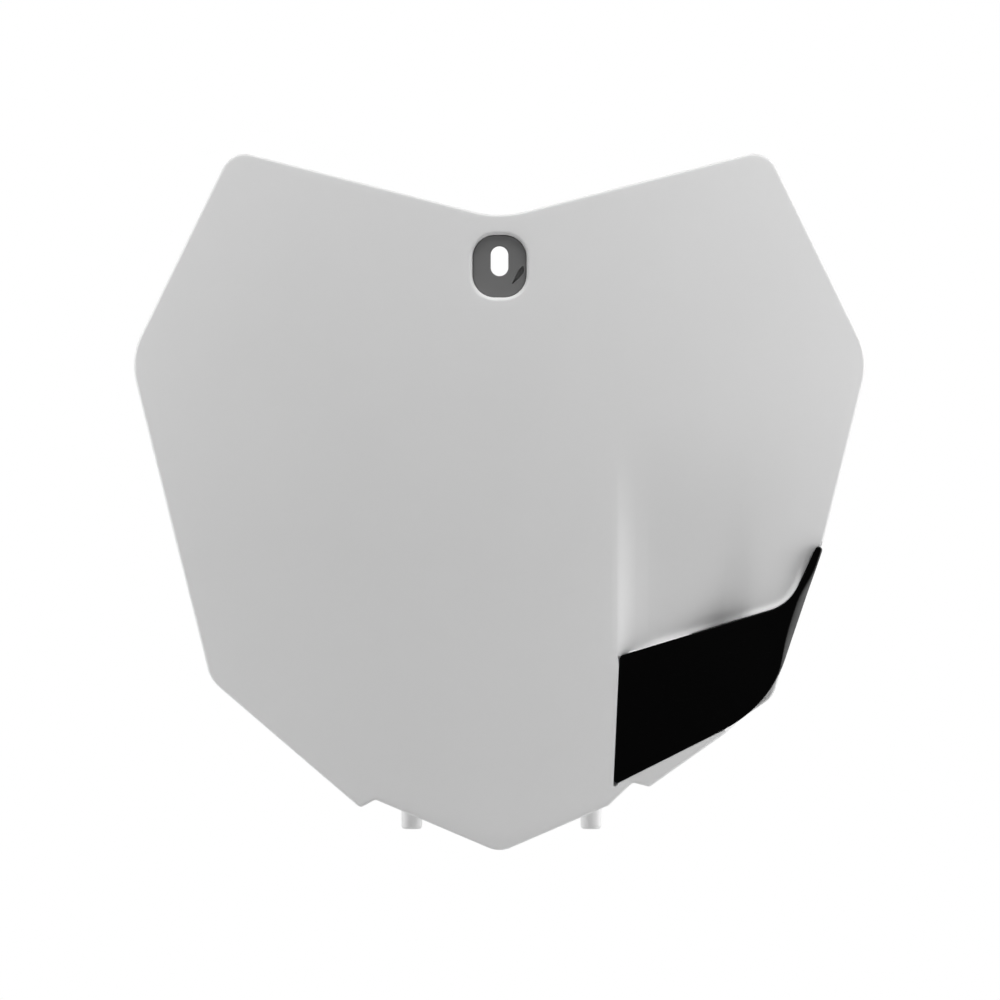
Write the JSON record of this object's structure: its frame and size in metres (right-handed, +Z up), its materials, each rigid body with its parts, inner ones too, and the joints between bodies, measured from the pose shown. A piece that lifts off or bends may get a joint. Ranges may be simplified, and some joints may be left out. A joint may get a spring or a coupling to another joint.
{
  "type": "number board",
  "caption": "White moulded front number board for an off-road motorcycle, with a rubber-bushed top slot, lower pegs and a black guide panel over a scooped hose recess.",
  "frame": {"origin": "middle of the top fixing slot, on the plane where the bush meets its bracket", "axes": "+Z up along the board, +X to the right as seen from the front, +Y to the rear, away from the viewer of the face"},
  "size_m": [0.2638, 0.0326, 0.25],
  "materials": {
    "plate": "satin white injection-moulded plastic",
    "hose_guide": "matt black injection-moulded plastic",
    "top_grommet": "dull dark grey moulded rubber"
  },
  "bodies": {
    "root": {"plate": "plate", "hose_guide": "hose_guide", "top_grommet": "top_grommet"}
  },
  "joints": []
}
